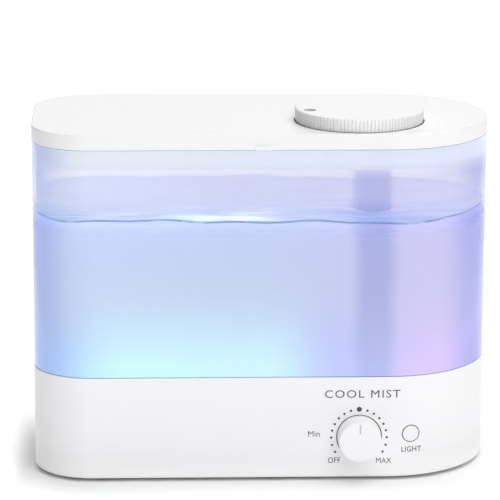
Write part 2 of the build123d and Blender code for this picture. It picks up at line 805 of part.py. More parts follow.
with BuildPart() as valve_housing:
    with BuildSketch(level(63.4)):
        with Locations((VALVE_X, VALVE_Y)):
            Circle(15.5)
    extrude(amount=2.6)
    with BuildSketch(level(66)):
        with Locations((VALVE_X, VALVE_Y)):
            Circle(12.0)
    extrude(amount=2.3)
    with BuildSketch(level(53.5)):
        with Locations((VALVE_X, VALVE_Y)):
            Circle(9.8)
    extrude(amount=10)
    with BuildSketch(level(56)):
        with Locations((VALVE_X, VALVE_Y)):
            Circle(8.2)
    extrude(amount=12.3, mode=Mode.SUBTRACT)
    with BuildSketch(level(53.5)):
        with Locations((VALVE_X, VALVE_Y)):
            Circle(3.2)
            with PolarLocations(5.4, 4):
                Circle(1.3)
    extrude(amount=2.5, mode=Mode.SUBTRACT)
valve_housing.part.label = "valve_housing"
export_step(valve_housing.part, "parts/valve_housing.step")

with BuildPart() as valve_cap:
    with BuildSketch(level(67)):
        with Locations((VALVE_X, VALVE_Y)):
            Circle(8.1)
            with PolarLocations(5.6, 6):
                Circle(1.6, mode=Mode.SUBTRACT)
    extrude(amount=1.2)
valve_cap.part.label = "valve_cap"
export_step(valve_cap.part, "parts/valve_cap.step")

with BuildPart() as valve_plunger:
    with BuildSketch(level(43.4)):
        with Locations((VALVE_X, VALVE_Y)):
            Circle(2.8)
    extrude(amount=18.2)
    with BuildSketch(level(61.4)):
        with Locations((VALVE_X, VALVE_Y)):
            Circle(7.4)
    extrude(amount=1.4)
valve_plunger.part.label = "valve_plunger"
export_step(valve_plunger.part, "parts/valve_plunger.step")

with BuildPart() as valve_seal:
    with BuildSketch(level(60.3)):
        with Locations((VALVE_X, VALVE_Y)):
            Circle(7.2)
            Circle(2.85, mode=Mode.SUBTRACT)
    extrude(amount=1.1)
valve_seal.part.label = "valve_seal"
export_step(valve_seal.part, "parts/valve_seal.step")

with BuildPart() as valve_spring:
    with BuildLine(Plane(origin=(VALVE_X, MID_Y + VALVE_Y, 63.2), x_dir=(1, 0, 0), z_dir=(0, 0, 1))) as coil:
        Helix(pitch=1.05, height=3.4, radius=3.4)
    with BuildSketch(Plane(origin=coil.line @ 0, z_dir=coil.line % 0)):
        Circle(0.32)
    sweep(is_frenet=True)
valve_spring.part.label = "valve_spring"
export_step(valve_spring.part, "parts/valve_spring.step")

# -------------------------------------------------------------------- lid
with BuildPart() as lid_shell:
    with BuildSketch(level(LID_Z0)):
        d_plan()
    extrude(amount=LID_Z1 - LID_Z0)
    fillet(lid_shell.faces().sort_by(Axis.Z)[-1].outer_wire().edges(), 0.9)
    fillet(lid_shell.faces().sort_by(Axis.Z)[0].outer_wire().edges(), 0.3)
    with BuildSketch(level(LID_Z0)):
        d_plan(LID_WALL)
    extrude(amount=LID_Z1 - LID_Z0 - LID_TOP, mode=Mode.SUBTRACT)
    # round well for the nozzle
    with BuildSketch(level(WELL_Z - WELL_T)):
        with Locations((NOZZLE_X, NOZZLE_Y)):
            Circle(WELL_R + 1.8)
    extrude(amount=LID_Z1 - WELL_Z + WELL_T - 1.0)
    with BuildSketch(level(WELL_Z)):
        with Locations((NOZZLE_X, NOZZLE_Y)):
            Circle(WELL_R)
    extrude(amount=4, mode=Mode.SUBTRACT)
    with BuildSketch(level(WELL_Z - 2.2)):
        with Locations((NOZZLE_X, NOZZLE_Y)):
            Circle(25.0)
    extrude(amount=4, mode=Mode.SUBTRACT)
    # finger tab at the lower front edge
    with BuildSketch(level(LID_Z0)):
        with Locations((0.0, FRONT - 0.2)):
            Rectangle(9.4, 1.4)
    extrude(amount=2.3)
lid_shell.part.label = "lid_shell"
export_step(lid_shell.part, "parts/lid_shell.step")

with BuildPart() as lid_inner_skirt:
    with BuildSketch(level(SKIRT_Z)):
        d_plan(2.9)
        d_plan(4.7, mode=Mode.SUBTRACT)
    extrude(amount=LID_Z1 - LID_TOP - SKIRT_Z)
    # stiffening ribs inside the skirt, and a shallow groove outside each
    with BuildSketch(level(SKIRT_Z + 1.2)):
        with Locations(*[(x, j * (DEPTH / 2 - 5.6)) for x in RIB_X for j in (-1, 1)]):
            Rectangle(1.8, 2.6)
    extrude(amount=LID_Z1 - LID_TOP - SKIRT_Z - 1.2)
    with BuildSketch(level(SKIRT_Z)):
        with Locations(*[(x, j * (DEPTH / 2 - 2.9)) for x in RIB_X for j in (-1, 1)]):
            Rectangle(0.8, 1.2)
    extrude(amount=LID_Z0 - SKIRT_Z - 0.6, mode=Mode.SUBTRACT)
    # room for the nozzle well
    with BuildSketch(level(WELL_Z - WELL_T - 0.2)):
        with Locations((NOZZLE_X, NOZZLE_Y)):
            Circle(WELL_R + 2.0)
    extrude(amount=4, mode=Mode.SUBTRACT)
lid_inner_skirt.part.label = "lid_inner_skirt"
export_step(lid_inner_skirt.part, "parts/lid_inner_skirt.step")

with BuildPart() as lid_mist_duct:
    with BuildSketch(level(187.8)):
        with Locations((NOZZLE_X, NOZZLE_Y)):
            Circle(28.4)
    extrude(amount=12.8)
    with BuildSketch(level(199.1)):
        with Locations((NOZZLE_X, NOZZLE_Y)):
            Circle(33.0)
    extrude(amount=1.5)
    with BuildSketch(level(189.2)):
        with Locations((NOZZLE_X, NOZZLE_Y)):
            Circle(27.0)
    extrude(amount=12, mode=Mode.SUBTRACT)
    with BuildSketch(level(177.2)):
        with Locations((CHIM_X, CHIM_Y)):
            Circle(14.8)
    extrude(amount=10.7)
    with BuildSketch(level(177.2)):
        with Locations((CHIM_X, CHIM_Y)):
            Circle(13.3)
    extrude(amount=13, mode=Mode.SUBTRACT)
lid_mist_duct.part.label = "lid_mist_duct"
export_step(lid_mist_duct.part, "parts/lid_mist_duct.step")

# ------------------------------------------------------------- mist nozzle
OUTLET_ANGLE, OUTLET_R, OUTLET_AT = 198.0, 3.6, 30.6
ax, ay = cos(radians(OUTLET_ANGLE)), sin(radians(OUTLET_ANGLE))
NOZZLE_MID = (NOZZLE_HIGH + NOZZLE_LOW) / 2
slope = (NOZZLE_HIGH - NOZZLE_LOW) / (2 * NOZZLE_R)


def nozzle_top(drop=0.0):
    """Sloping plane of the nozzle's top, highest on the outlet side."""
    return Plane(
        origin=(NOZZLE_X, MID_Y + NOZZLE_Y, NOZZLE_MID - drop),
        x_dir=(ax, ay, slope),
        z_dir=(-slope * ax, -slope * ay, 1),
    )


with BuildPart() as nozzle_cap:
    with BuildSketch(level(WELL_Z + 0.4)):
        with Locations((NOZZLE_X, NOZZLE_Y)):
            Circle(NOZZLE_RB)
    extrude(amount=14, taper=-2.9)
    split(bisect_by=nozzle_top(), keep=Keep.BOTTOM)
    fillet(nozzle_cap.faces().sort_by(Axis.Z)[-1].outer_wire().edges(), 1.0)
    # hollow underside
    with BuildSketch(nozzle_top(2.2)):
        Circle(NOZZLE_RB - 2.4)
    extrude(amount=-16, mode=Mode.SUBTRACT)
    # mist outlet
    with BuildSketch(nozzle_top(3)):
        with Locations((OUTLET_AT, 0)):
            Circle(OUTLET_R)
    extrude(amount=5, mode=Mode.SUBTRACT)
    # grip grooves round the rim
    with BuildSketch(level(WELL_Z)):
        with Locations((NOZZLE_X, NOZZLE_Y)):
            with PolarLocations(NOZZLE_R, GROOVES):
                RectangleRounded(1.9, 0.7, 0.3)
    extrude(amount=20, mode=Mode.SUBTRACT)
nozzle_cap.part.label = "nozzle_cap"
export_step(nozzle_cap.part, "parts/nozzle_cap.step")

with BuildPart() as nozzle_base:
    with BuildSketch(level(WELL_Z + 0.4)):
        with Locations((NOZZLE_X, NOZZLE_Y)):
            Circle(NOZZLE_RB - 2.7)
            Circle(22.9, mode=Mode.SUBTRACT)
    extrude(amount=1.7)
    with BuildSketch(level(198.6)):
        with Locations((NOZZLE_X, NOZZLE_Y)):
            Circle(24.7)
            Circle(22.9, mode=Mode.SUBTRACT)
    extrude(amount=WELL_Z + 0.5 - 198.6)
nozzle_base.part.label = "nozzle_base"
export_step(nozzle_base.part, "parts/nozzle_base.step")

with BuildPart() as nozzle_clip:
    with BuildSketch(level(199.0)):
        with Locations((NOZZLE_X, NOZZLE_Y)):
            Circle(26.4)
            Circle(24.75, mode=Mode.SUBTRACT)
            with Locations((0, -26)):
                Rectangle(8, 6, mode=Mode.SUBTRACT)
    extrude(amount=1.2)
nozzle_clip.part.label = "nozzle_clip"
export_step(nozzle_clip.part, "parts/nozzle_clip.step")
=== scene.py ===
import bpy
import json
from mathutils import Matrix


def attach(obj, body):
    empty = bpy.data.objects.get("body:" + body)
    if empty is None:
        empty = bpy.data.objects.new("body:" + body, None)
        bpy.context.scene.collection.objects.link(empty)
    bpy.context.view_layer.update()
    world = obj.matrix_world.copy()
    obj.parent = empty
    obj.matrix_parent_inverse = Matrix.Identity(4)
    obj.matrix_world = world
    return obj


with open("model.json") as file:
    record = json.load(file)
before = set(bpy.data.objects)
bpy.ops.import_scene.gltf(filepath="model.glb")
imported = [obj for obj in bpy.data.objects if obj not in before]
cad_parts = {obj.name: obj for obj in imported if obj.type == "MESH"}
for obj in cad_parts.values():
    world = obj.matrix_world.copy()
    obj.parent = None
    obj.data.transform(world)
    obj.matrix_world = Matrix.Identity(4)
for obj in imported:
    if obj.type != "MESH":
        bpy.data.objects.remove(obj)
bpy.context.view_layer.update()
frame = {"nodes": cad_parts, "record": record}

import json
import math
import bmesh
import bpy
from mathutils import Matrix, Vector, noise

# Everything is in metres in the frame of the CAD model: +X right, +Y back, +Z up,
# the origin on the surface that the feet stand on.
NODES = frame["nodes"]
MID_Y = 0.0052
HALF_X, HALF_Y = 0.1325, 0.060
CORNER_R = 0.034
END_X = 0.0725
FRONT_Y = MID_Y - HALF_Y
WALL = 0.0024
FLOOR_TOP = 0.0684
WATER_Z = 0.1541
CHIM = (0.065, MID_Y - 0.012)
KNOB = (0.0558, 0.0266)
BUTTON = (0.0858, 0.0280)
NOZZLE = (0.0565, MID_Y - 0.0190)


# ------------------------------------------------------------------ node helpers
def srgb(r, g, b):
    def lin(c):
        c /= 255.0
        return c / 12.92 if c <= 0.04045 else ((c + 0.055) / 1.055) ** 2.4
    return (lin(r), lin(g), lin(b), 1.0)


class Mat:
    """A Principled material and the few node moves used on it."""

    def __init__(self, name, slots=None):
        self.m = bpy.data.materials.new(name)
        self.m.use_nodes = True
        self.nt = self.m.node_tree
        self.n = self.nt.nodes
        self.l = self.nt.links
        self.p = self.n["Principled BSDF"]
        self.tc = self.n.new("ShaderNodeTexCoord")
        self._xyz = None

    def set(self, **values):
        for key, v in values.items():
            self.p.inputs[key.replace("_", " ")].default_value = v
        return self

    def to(self, sock, socket_name):
        self.l.new(sock, self.p.inputs[socket_name])
        return self

    def obj(self):
        return self.tc.outputs["Object"]

    def xyz(self):
        if self._xyz is None:
            s = self.n.new("ShaderNodeSeparateXYZ")
            self.l.new(self.obj(), s.inputs[0])
            self._xyz = s
        return self._xyz.outputs

    def mapping(self, scale, rot=(0, 0, 0)):
        m = self.n.new("ShaderNodeMapping")
        m.inputs["Scale"].default_value = scale
        m.inputs["Rotation"].default_value = rot
        self.l.new(self.obj(), m.inputs["Vector"])
        return m.outputs[0]

    def noise(self, scale, detail=3.0, rough=0.5, vec=None, distortion=0.0):
        t = self.n.new("ShaderNodeTexNoise")
        t.inputs["Scale"].default_value = scale
        t.inputs["Detail"].default_value = detail
        t.inputs["Roughness"].default_value = rough
        t.inputs["Distortion"].default_value = distortion
        self.l.new(vec if vec is not None else self.obj(), t.inputs["Vector"])
        return t.outputs["Fac"]

    def voronoi(self, scale, feature="F1", vec=None):
        t = self.n.new("ShaderNodeTexVoronoi")
        t.feature = feature
        t.inputs["Scale"].default_value = scale
        self.l.new(vec if vec is not None else self.obj(), t.inputs["Vector"])
        return t.outputs["Distance"]

    def wave(self, scale, direction="X", vec=None, distortion=0.0):
        t = self.n.new("ShaderNodeTexWave")
        t.bands_direction = direction
        t.inputs["Scale"].default_value = scale
        t.inputs["Distortion"].default_value = distortion
        self.l.new(vec if vec is not None else self.obj(), t.inputs["Vector"])
        return t.outputs["Fac"]

    def rng(self, sock, a, b, c, d, smooth=False):
        """Maps a..b onto c..d, clamped."""
        m = self.n.new("ShaderNodeMapRange")
        if smooth:
            m.interpolation_type = "SMOOTHSTEP"
        for k, v in zip(("From Min", "From Max", "To Min", "To Max"), (a, b, c, d)):
            m.inputs[k].default_value = v
        self.l.new(sock, m.inputs["Value"])
        return m.outputs["Result"]

    def math(self, op, a, b=None, clamp=False):
        m = self.n.new("ShaderNodeMath")
        m.operation = op
        m.use_clamp = clamp
        for i, v in enumerate((a, b)):
            if v is None:
                continue
            if isinstance(v, (int, float)):
                m.inputs[i].default_value = v
            else:
                self.l.new(v, m.inputs[i])
        return m.outputs[0]

    def ramp(self, sock, stops, mode="EASE"):
        r = self.n.new("ShaderNodeValToRGB")
        r.color_ramp.interpolation = mode
        e = r.color_ramp.elements
        while len(e) < len(stops):
            e.new(0.5)
        for i, (pos, col) in enumerate(stops):
            e[i].position = pos
            e[i].color = col if len(col) == 4 else (*col, 1.0)
        self.l.new(sock, r.inputs["Fac"])
        return r.outputs["Color"]

    def mix(self, fac, a, b, blend="MIX"):
        m = self.n.new("ShaderNodeMix")
        m.data_type = "RGBA"
        m.blend_type = blend
        ins = {"f": m.inputs[0], "a": m.inputs[6], "b": m.inputs[7]}
        for k, v in (("f", fac), ("a", a), ("b", b)):
            if isinstance(v, (int, float)):
                ins[k].default_value = v
            elif isinstance(v, (tuple, list)):
                ins[k].default_value = v
            else:
                self.l.new(v, ins[k])
        return m.outputs[2]

    def bump(self, height, strength, distance):
        b = self.n.new("ShaderNodeBump")
        b.inputs["Strength"].default_value = strength
        b.inputs["Distance"].default_value = distance
        self.l.new(height, b.inputs["Height"])
        self.l.new(b.outputs[0], self.p.inputs["Normal"])
        return self

    def facing(self, blend=0.5):
        w = self.n.new("ShaderNodeLayerWeight")
        w.inputs["Blend"].default_value = blend
        return w.outputs["Facing"]


def plastic(name, col, spread, rough, grain=900.0, grain_depth=0.00002, specular=0.5, cloud=18.0):
    """Moulded plastic: faint flow clouds, a fine spark-eroded grain and uneven gloss."""
    m = Mat(name)
    c = m.noise(cloud, 4.0, 0.55)
    m.to(m.mix(c, tuple(x * (1 - spread) for x in col[:3]) + (1.0,), tuple(min(1.0, x * (1 + spread)) for x in col[:3]) + (1.0,)), "Base Color")
    m.to(m.rng(m.noise(cloud * 6, 5.0, 0.6), 0.3, 0.7, rough - 0.05, rough + 0.05), "Roughness")
    m.set(Specular_IOR_Level=specular)
    m.bump(m.noise(grain, 2.0, 0.6), 0.25, grain_depth)
    return m


# --------------------------------------------------------------------- materials
MATS = {}

m = plastic("white_shell", (0.850, 0.850, 0.857), 0.010, 0.36, grain=1400, grain_depth=0.000008)
# painted light: the shell glows faintly within 16 mm of the floor, brightening the base's bottom where the floor's
# shade would darken it
m.set(Emission_Color=(1.0, 1.0, 1.0, 1.0))
m.to(m.rng(m.xyz()["Z"], 0.001, 0.016, 0.09, 0.0, smooth=True), "Emission Strength")


def radius_from(m, ax, a0, bx, b0):
    """Distance from a line along the third axis."""
    a = m.math("SUBTRACT", m.xyz()[ax], a0)
    b = m.math("SUBTRACT", m.xyz()[bx], b0)
    return m.math("SQRT", m.math("ADD", m.math("MULTIPLY", a, a), m.math("MULTIPLY", b, b)))


# painted shade: the narrow gaps round the nozzle, the dial and the button, and the inside of the nozzle, hardly take
# any light, so their shade is painted into the base colour, nearly black
rho = radius_from(m, "X", NOZZLE[0], "Y", NOZZLE[1])
well = m.math("MULTIPLY", m.rng(rho, 0.03765, 0.03785, 1.0, 0.0), m.rng(rho, 0.0355, 0.0363, 0.0, 1.0))
well = m.math("MULTIPLY", well, m.rng(m.xyz()["Z"], 0.20490, 0.20555, 1.0, 0.0))
seat = m.math("MULTIPLY", m.rng(radius_from(m, "X", KNOB[0], "Z", KNOB[1]), 0.01332, 0.01342, 1.0, 0.0), m.rng(m.xyz()["Y"], FRONT_Y + 0.00005, FRONT_Y + 0.0003, 0.0, 1.0))
hole = m.rng(radius_from(m, "X", BUTTON[0], "Z", BUTTON[1]), 0.00514, 0.00530, 0.9, 0.0)
inside = m.math("MULTIPLY", m.rng(rho, 0.0343, 0.0346, 1.0, 0.0), m.rng(m.xyz()["Z"], 0.2098, 0.2118, 0.85, 0.0))
inside = m.math("MULTIPLY", inside, m.rng(m.xyz()["Z"], 0.190, 0.191, 0.0, 1.0))
gap = m.math("MAXIMUM", m.math("MAXIMUM", m.math("MAXIMUM", well, seat), hole), inside)
gap = m.math("MULTIPLY", gap, m.rng(m.xyz()["Y"], 0.030, 0.032, 1.0, 0.0))
under = m.p.inputs["Base Color"].links[0].from_socket
m.to(m.mix(gap, under, (0.030, 0.030, 0.033, 1.0)), "Base Color")
MATS["white_shell"] = m

m = plastic("white_knob", (0.836, 0.836, 0.842), 0.008, 0.32, grain=1600, grain_depth=0.000006)
# shade in the pointer line
line = m.math("MULTIPLY", m.rng(m.math("ABSOLUTE", m.math("SUBTRACT", m.xyz()["X"], KNOB[0])), 0.00036, 0.00046, 1.0, 0.0),
              m.rng(m.math("ABSOLUTE", m.math("SUBTRACT", m.xyz()["Z"], KNOB[1] + 0.0076)), 0.0026, 0.0028, 1.0, 0.0))
line = m.math("MULTIPLY", line, m.rng(m.xyz()["Y"], FRONT_Y - 0.0100, FRONT_Y - 0.0098, 0.75, 0.0))
under = m.p.inputs["Base Color"].links[0].from_socket
m.to(m.mix(line, under, (0.36, 0.36, 0.37, 1.0)), "Base Color")
# painted light: the knob's side glows faintly, most where it meets the wall, lifting the shade there; its front face
# and anything past x = 76 mm do not glow
m.set(Emission_Color=(1.0, 1.0, 1.0, 1.0))
m.to(m.math("MULTIPLY", m.rng(m.xyz()["Y"], FRONT_Y - 0.012, FRONT_Y - 0.001, 0.0, 0.15), m.rng(m.xyz()["X"], 0.072, 0.076, 1.0, 0.0)), "Emission Strength")
MATS["white_knob"] = m
MATS["white_inner"] = plastic("white_inner", (0.82, 0.82, 0.83), 0.015, 0.45, grain=1000, grain_depth=0.000012)

m = plastic("white_skirt", srgb(224, 225, 231), 0.010, 0.40, grain=1200, grain_depth=0.000010)
# painted light: the skirt glows faintly bluish, as if lit by the lamps through the tank wall
m.set(Emission_Color=srgb(196, 208, 255), Emission_Strength=0.19)
# shade in the grooves between the skirt's panels
t = m.math("FRACT", m.math("DIVIDE", m.math("ADD", m.xyz()["X"], 0.1115), 0.033))
t = m.rng(m.math("ABSOLUTE", m.math("SUBTRACT", t, 0.5)), 0.012, 0.028, 1.0, 0.0)
under = m.p.inputs["Base Color"].links[0].from_socket
m.to(m.mix(m.math("MULTIPLY", t, m.rng(m.xyz()["Z"], 0.1850, 0.1956, 0.5, 0.6)), under, srgb(192, 193, 200)), "Base Color")
MATS["white_skirt"] = m


def chimney_shade(m, colour, amount=0.70):
    """Painted shade: the mist chimney's soft silhouette, darkened into the colour of the milky front wall, which is lit
    from inside.
    """
    xyz = m.xyz()
    k = m.rng(m.math("ABSOLUTE", m.math("SUBTRACT", xyz["X"], CHIM[0] - 0.001)), 0.005, 0.016, amount, 0.0, smooth=True)
    k = m.math("MULTIPLY", k, m.rng(xyz["Y"], -0.020, 0.0, 1.0, 0.0))
    k = m.math("MULTIPLY", k, m.rng(xyz["Z"], 0.178, 0.185, 1.0, 0.0, smooth=True))
    return m.mix(k, colour, srgb(165, 175, 225))


def glow_colour(m):
    """The lamps' light in the tank: cyan over the left lamp, lilac over the right one,
    dimmer at the two ends. Object space only."""
    xyz = m.xyz()
    px = m.rng(xyz["X"], -0.14, 0.14, 0.0, 1.0)

    high = m.ramp(px, [
        (0.03, srgb(185, 200, 250)), (0.11, srgb(210, 220, 245)), (0.50, srgb(205, 215, 240)), (0.86, srgb(210, 208, 240)),
        (0.97, srgb(160, 170, 235))])
    low = m.ramp(px, [
        (0.03, srgb(165, 195, 255)), (0.22, srgb(200, 245, 255)), (0.50, srgb(200, 240, 255)), (0.66, srgb(185, 195, 250)),
        (0.86, srgb(210, 192, 245)), (0.97, srgb(150, 152, 225))])
    d = m.math("SUBTRACT", xyz["Z"], 0.066)
    d = m.math("MAXIMUM", d, 0.0)
    d = m.math("DIVIDE", d, 0.033)
    d = m.math("MULTIPLY", d, d)
    f = m.math("POWER", 2.71828, m.math("MULTIPLY", d, -1.0))
    wob = m.rng(m.noise(14.0, 2.0, 0.5), 0.3, 0.7, 0.93, 1.07)
    return chimney_shade(m, m.mix(m.math("MULTIPLY", f, wob, clamp=True), high, low))


# Tank wall: clear plastic with a slight milkiness. Painted light: the lamps' glow, the darker ends and a lighter band
# at the top, in front of the lid's skirt, are painted into its colour, and it glows faintly with that colour.
m = Mat("clear_tank")
g = glow_colour(m)
px = m.rng(m.xyz()["X"], -0.14, 0.14, 0.0, 1.0)
dry = m.ramp(px, [
    (0.03, srgb(200, 215, 255)), (0.10, srgb(222, 227, 250)), (0.50, srgb(208, 213, 240)), (0.88, srgb(211, 209, 238)),
    (0.97, srgb(175, 182, 232))])
above = m.rng(m.xyz()["Z"], 0.150, 0.158, 0.0, 1.0, smooth=True)
rim = m.rng(m.xyz()["Z"], 0.178, 0.190, 0.0, 1.0, smooth=True)
dry = m.mix(rim, dry, m.ramp(px, [(0.03, srgb(210, 223, 255)), (0.13, srgb(246, 249, 255)), (0.97, srgb(235, 240, 255))]))
col = m.mix(above, g, chimney_shade(m, dry, 0.35))
m.to(col, "Base Color")
m.to(col, "Emission Color")
m.set(Emission_Strength=0.03)
facing = m.facing(0.5)
edge = m.math("POWER", facing, 2.4)
# hazier where the wall is wet or dry, clearest just over the water line
wet = m.rng(m.xyz()["Z"], 0.1440, 0.1530, 1.0, 0.0, smooth=True)
air = m.rng(m.xyz()["Z"], 0.1560, 0.1700, 0.0, 0.24, smooth=True)
deep = m.rng(m.xyz()["Z"], 0.0690, 0.1485, 0.78, 0.26)
haze = m.math("ADD", m.math("ADD", m.math("MULTIPLY", wet, deep), air), 0.20)
alpha = m.math("ADD", m.math("MULTIPLY", edge, 0.42), haze)
m.to(m.math("MINIMUM", alpha, 0.98), "Alpha")
m.to(m.rng(m.noise(30.0, 4.0, 0.6), 0.3, 0.7, 0.07, 0.14), "Roughness")
m.bump(m.noise(22.0, 1.0, 0.4), 0.12, 0.0002)
m.set(Specular_IOR_Level=0.5, Coat_Weight=0.3, Coat_Roughness=0.05)
MATS["clear_tank"] = m

# Chimney tube: tinted, and softer towards its outline.
m = Mat("clear_chimney")
m.to(m.mix(m.noise(25.0, 3.0), srgb(145, 155, 215), srgb(155, 165, 220)), "Base Color")
# painted light: the chimney tube glows faintly blue, as if lit by the lamps
m.set(Emission_Color=srgb(160, 170, 230), Emission_Strength=0.30, Specular_IOR_Level=0.3)
f = m.math("SUBTRACT", 1.0, m.facing(0.5))
m.to(m.rng(f, 0.05, 0.95, 0.0, 0.48, smooth=True), "Alpha")
m.to(m.rng(m.noise(60.0, 3.0), 0.3, 0.7, 0.15, 0.25), "Roughness")
MATS["clear_chimney"] = m

m = Mat("clear_lens")
m.to(m.mix(m.noise(120.0, 3.0), (0.80, 0.92, 0.97, 1), (0.86, 0.96, 1.0, 1)), "Base Color")
# painted light: the lens glows cyan, as if lit through by the lamp under it
m.set(Alpha=0.55, Emission_Color=(0.6, 0.95, 1.0, 1), Emission_Strength=0.5)
m.to(m.rng(m.noise(300.0, 3.0), 0.3, 0.7, 0.05, 0.12), "Roughness")
MATS["clear_lens"] = m

m = Mat("led_lamp")
m.to(m.mix(m.noise(700.0, 2.0), (0.75, 0.96, 1.0, 1), (0.9, 1.0, 1.0, 1)), "Base Color")
m.set(Emission_Color=(0.55, 0.95, 1.0, 1), Emission_Strength=6.0)
m.to(m.rng(m.noise(900.0, 2.0), 0.3, 0.7, 0.10, 0.2), "Roughness")
MATS["led_lamp"] = m

MATS["grey_rubber"] = plastic("grey_rubber", (0.30, 0.30, 0.31), 0.05, 0.75, grain=1500, grain_depth=0.00003, specular=0.3, cloud=60.0)
MATS["dark_rubber"] = plastic("dark_rubber", (0.035, 0.035, 0.038), 0.10, 0.70, grain=1500, grain_depth=0.00003, specular=0.3, cloud=60.0)
MATS["black_component"] = plastic("black_component", (0.022, 0.022, 0.025), 0.15, 0.48, grain=1800, grain_depth=0.00002, specular=0.4, cloud=70.0)


def metal(name, col, rough, brush=(30, 900, 900)):
    m = Mat(name)
    v = m.mapping(brush)
    streak = m.noise(1.0, 4.0, 0.6, vec=v)
    m.to(m.mix(streak, tuple(x * 0.90 for x in col) + (1,), tuple(min(1, x * 1.06) for x in col) + (1,)), "Base Color")
    m.to(m.rng(streak, 0.3, 0.7, rough - 0.07, rough + 0.07), "Roughness")
    m.set(Metallic=1.0)
    m.bump(streak, 0.15, 0.00001)
    return m


MATS["screw_steel"] = metal("screw_steel", (0.56, 0.56, 0.58), 0.30, (400, 400, 1500))
MATS["bare_aluminium"] = metal("bare_aluminium", (0.76, 0.77, 0.79), 0.36, (40, 1200, 1200))
MATS["transducer_metal"] = metal("transducer_metal", (0.74, 0.70, 0.58), 0.24, (500, 500, 500))

m = Mat("circuit_board")
trace = m.wave(260.0, "X", distortion=0.0)
trace2 = m.wave(190.0, "Y", distortion=1.5)
lines = m.rng(m.math("MAXIMUM", trace, trace2), 0.90, 0.97, 0.0, 1.0)
patch = m.rng(m.noise(55.0, 1.0), 0.48, 0.53, 0.0, 1.0)
k = m.math("MULTIPLY", lines, patch)
m.to(m.mix(k, (0.015, 0.095, 0.045, 1), (0.04, 0.20, 0.09, 1)), "Base Color")
m.to(m.rng(m.noise(80.0, 3.0), 0.3, 0.7, 0.22, 0.34), "Roughness")
m.bump(k, 0.4, 0.00003)
MATS["circuit_board"] = m

m = Mat("copper_coil")
turn = m.wave(620.0, "Z", vec=m.mapping((0.3, 0.3, 1.0)), distortion=0.6)
m.to(m.mix(turn, (0.30, 0.11, 0.04, 1), (0.78, 0.36, 0.17, 1)), "Base Color")
m.set(Metallic=0.85)
m.to(m.rng(turn, 0.0, 1.0, 0.42, 0.26), "Roughness")
m.bump(turn, 0.8, 0.0002)
MATS["copper_coil"] = m

m = Mat("filter_foam")
cell = m.voronoi(900.0)
m.to(m.mix(m.rng(cell, 0.1, 0.6, 0.0, 1.0), (0.045, 0.047, 0.052, 1), (0.16, 0.165, 0.175, 1)), "Base Color")
m.to(m.rng(cell, 0.0, 0.8, 0.98, 0.82), "Roughness")
m.set(Sheen_Weight=0.2, Specular_IOR_Level=0.2)
m.bump(cell, 0.9, 0.0006)
MATS["filter_foam"] = m

SLOT = {s["node"]: s["material_slot"] for s in frame["record"]["subparts"]}
for name, o in NODES.items():
    mat = MATS[SLOT[name]].m
    if not o.material_slots:
        o.data.materials.append(mat)
    for s in o.material_slots:
        s.material = mat


# ------------------------------------------------------------------ mesh helpers
def link(name, verts, faces, mats=(), smooth=True):
    me = bpy.data.meshes.new(name)
    me.from_pydata([tuple(v) for v in verts], [], faces)
    me.update()
    o = bpy.data.objects.new(name, me)
    bpy.context.scene.collection.objects.link(o)
    for mt in mats:
        me.materials.append(mt)
    for p in me.polygons:
        p.use_smooth = smooth
    return o


def d_ring(inset, n_arc=24, n_arc_end=72, n_long=64, n_short=20):
    """Points of the D outline, moved inwards by inset, always in the same number and order."""
    y = HALF_Y - inset
    xl = -HALF_X + inset
    r = max(CORNER_R - inset, 0.0)
    cx, cy = xl + r, y - r
    pts = []

    def arc(px, py, rad, a0, a1, n):
        for i in range(n):
            a = math.radians(a0 + (a1 - a0) * i / n)
            pts.append((px + rad * math.cos(a), MID_Y + py + rad * math.sin(a)))

    def line(x0, y0, x1, y1, n):
        for i in range(n):
            t = i / n
            pts.append((x0 + (x1 - x0) * t, MID_Y + y0 + (y1 - y0) * t))
    xr = max(END_X, cx + 1e-5)
    line(xr, y, cx, y, n_long)
    arc(cx, cy, r, 90, 180, n_arc)
    line(xl, cy, xl, -cy, n_short)
    arc(cx, -cy, r, 180, 270, n_arc)
    line(cx, -y, xr, -y, n_long)
    arc(END_X, 0, y, -90, 90, n_arc_end)
    return pts


def surface_z(x, y):
    """Height of the water: a slow swell and small ripples."""
    z = WATER_Z - 0.0016 * math.exp(-((x - 0.070) / 0.042) ** 2)
    z += 0.00045 * math.sin(x * 62.0 + y * 25.0 + 0.6) + 0.00030 * math.sin(x * 148.0 - y * 70.0)
    z += 0.0011 * noise.noise(Vector((x * 34.0, y * 60.0, 2.7)))
    return z


